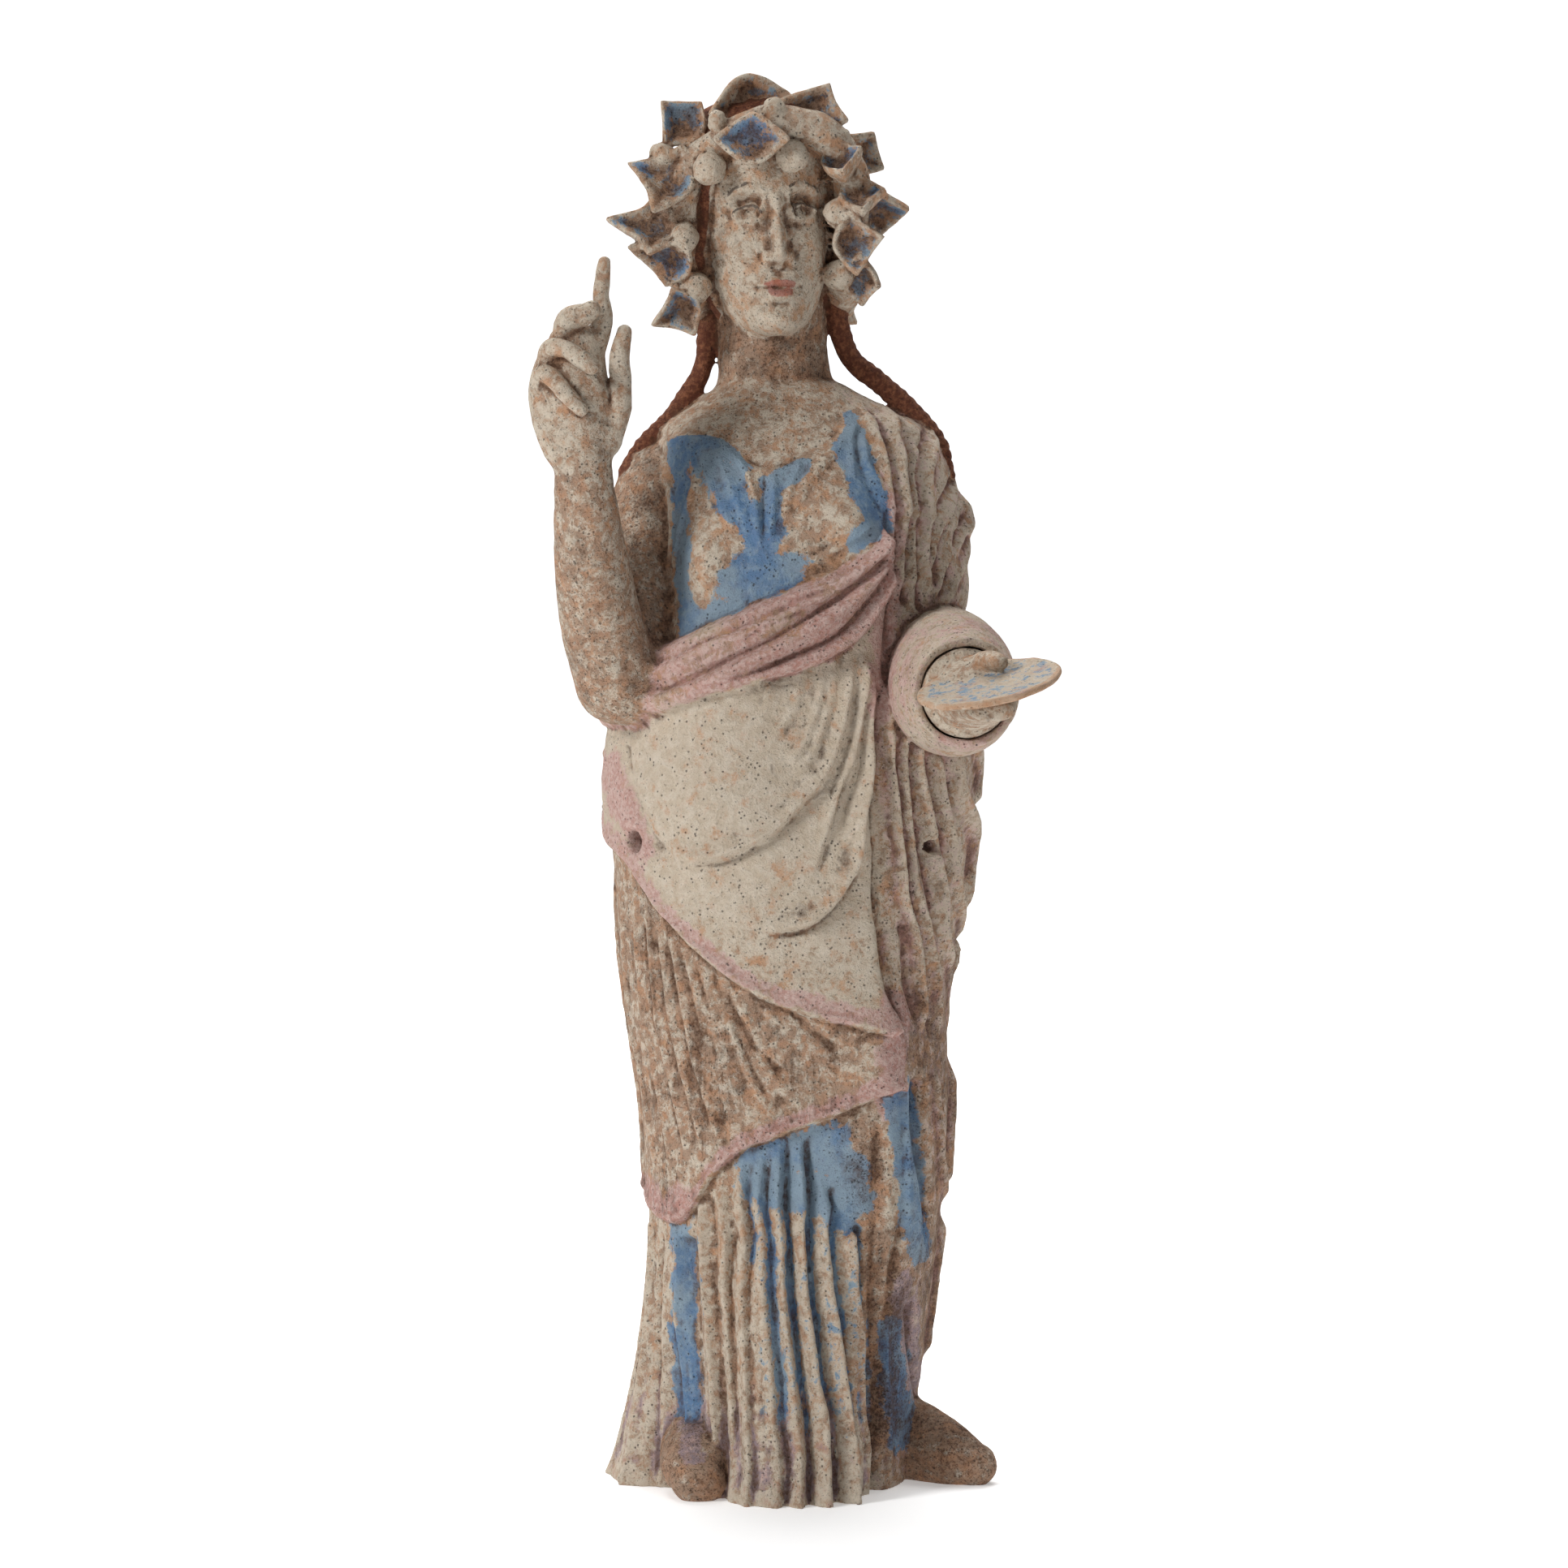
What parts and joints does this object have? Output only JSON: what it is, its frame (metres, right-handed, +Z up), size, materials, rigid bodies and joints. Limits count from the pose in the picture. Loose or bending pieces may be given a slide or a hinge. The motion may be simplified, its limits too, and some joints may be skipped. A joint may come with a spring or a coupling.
{
  "type": "terracotta figurine",
  "caption": "Standing draped terracotta woman in an ivy wreath, right hand raised, with a separate left hand that holds a shallow dish.",
  "frame": {"origin": "on the floor under the upright axis of the body, at the underside", "axes": "+Z up; the figure faces -Y; +X to the viewer's right, the figure's own left"},
  "size_m": [0.3142, 0.2965, 0.861],
  "materials": {
    "painted_terracotta": "unglazed fired clay with worn pink, blue and cream paint over white slip",
    "painted_terracotta_dish": "unglazed fired clay with a worn pale blue grey wash"
  },
  "bodies": {
    "root": {"figure": "painted_terracotta", "left_hand_with_dish": "painted_terracotta_dish"}
  },
  "joints": []
}
